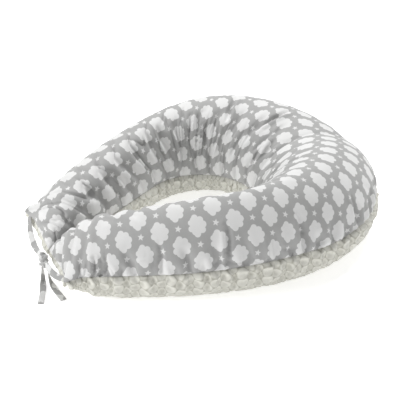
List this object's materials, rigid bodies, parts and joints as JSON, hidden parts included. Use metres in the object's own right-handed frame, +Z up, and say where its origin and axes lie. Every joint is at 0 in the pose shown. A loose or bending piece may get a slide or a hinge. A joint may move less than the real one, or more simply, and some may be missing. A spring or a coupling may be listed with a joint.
{
  "type": "nursing pillow",
  "caption": "C-shaped fibre nursing pillow in an inner casing and a zipped cover, cotton print above and dimple plush below, with its arms tied together at their ends.",
  "frame": {"origin": "bottom centre of the pillow's bounding box, without its ties", "axes": "+Z up, +Y from the tied ends of the arms to the back, X across the arms"},
  "size_m": [0.504, 0.731, 0.192],
  "materials": {
    "print_cotton": "matt printed cotton",
    "dimple_plush": "matt plush with raised dimples",
    "casing_cotton": "matt plain cotton",
    "fibre": "loose polyester fibre",
    "zip_tape": "woven tape",
    "zip_coil": "moulded nylon",
    "zip_metal": "plated zinc",
    "label_ribbon": "satin ribbon"
  },
  "bodies": {
    "pillow": {"cover_top_panel": "print_cotton", "cover_bottom_panel": "dimple_plush", "inner_casing_top": "casing_cotton", "inner_casing_bottom": "casing_cotton", "fibre_filling": "fibre", "zip_tape_upper": "zip_tape", "zip_tape_lower": "zip_tape", "zip_coil_upper": "zip_coil", "zip_coil_lower": "zip_coil", "zip_top_stop": "zip_metal", "zip_bottom_stop": "zip_metal", "care_label": "label_ribbon", "left_tie": "print_cotton", "left_tie_tail": "print_cotton", "right_tie": "print_cotton", "right_tie_tail": "print_cotton", "tie_knot": "print_cotton"},
    "zip_slider": {"zip_slider": "zip_metal"},
    "zip_pull_tab": {"zip_pull_tab": "zip_metal"}
  },
  "joints": [
    {"name": "zip_travel", "type": "hinge", "parent": "pillow", "child": "zip_slider", "pos_m": [0, 0.0865, 0.072], "axis": [0, 0, 1], "range_deg": [0, 64.5]},
    {"name": "pull_tab_flip", "type": "hinge", "parent": "zip_slider", "child": "zip_pull_tab", "pos_m": [-0.06811, 0.33006, 0.072], "axis": [0, 0, 1], "range_deg": [-175, 0]}
  ]
}
